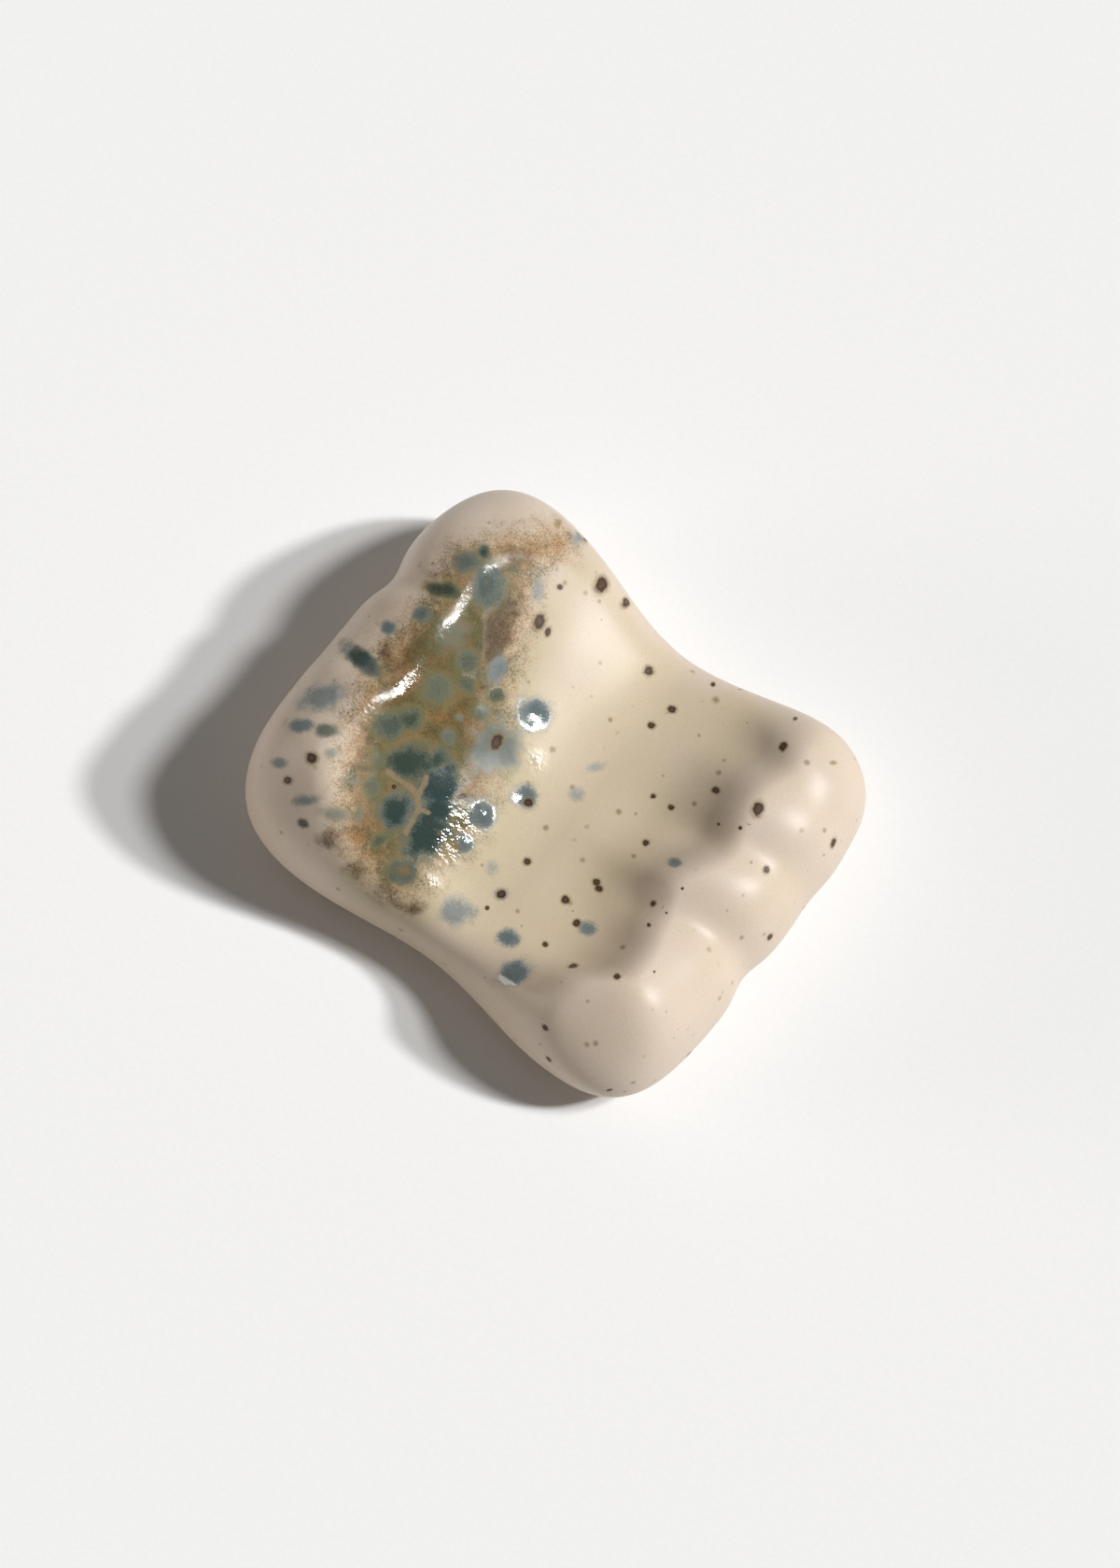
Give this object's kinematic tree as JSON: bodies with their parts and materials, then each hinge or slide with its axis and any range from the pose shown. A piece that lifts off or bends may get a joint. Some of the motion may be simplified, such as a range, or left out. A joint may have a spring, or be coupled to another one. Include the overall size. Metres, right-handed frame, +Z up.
{
  "type": "chopstick rest",
  "caption": "Hand-squeezed glazed stoneware chopstick rest: a low block with lumpy raised ridges at its ends and a broad saddle between them that holds the chopstick tips off the table.",
  "frame": {"origin": "middle of the foot on the table, under the centre of the object's box", "axes": "+X across the ridges from the taller to the lower one, +Y along the ridges, +Z up"},
  "size_m": [0.058, 0.0504, 0.0214],
  "materials": {
    "stoneware_body": "unglazed fired stoneware, matte",
    "cream_glaze_coat": "satin cream glaze with iron specks",
    "reactive_glaze_pool": "glossy brown and blue-green reactive glaze"
  },
  "bodies": {
    "root": {"stoneware_body": "stoneware_body", "cream_glaze_coat": "cream_glaze_coat", "reactive_glaze_pool": "reactive_glaze_pool"}
  },
  "joints": []
}
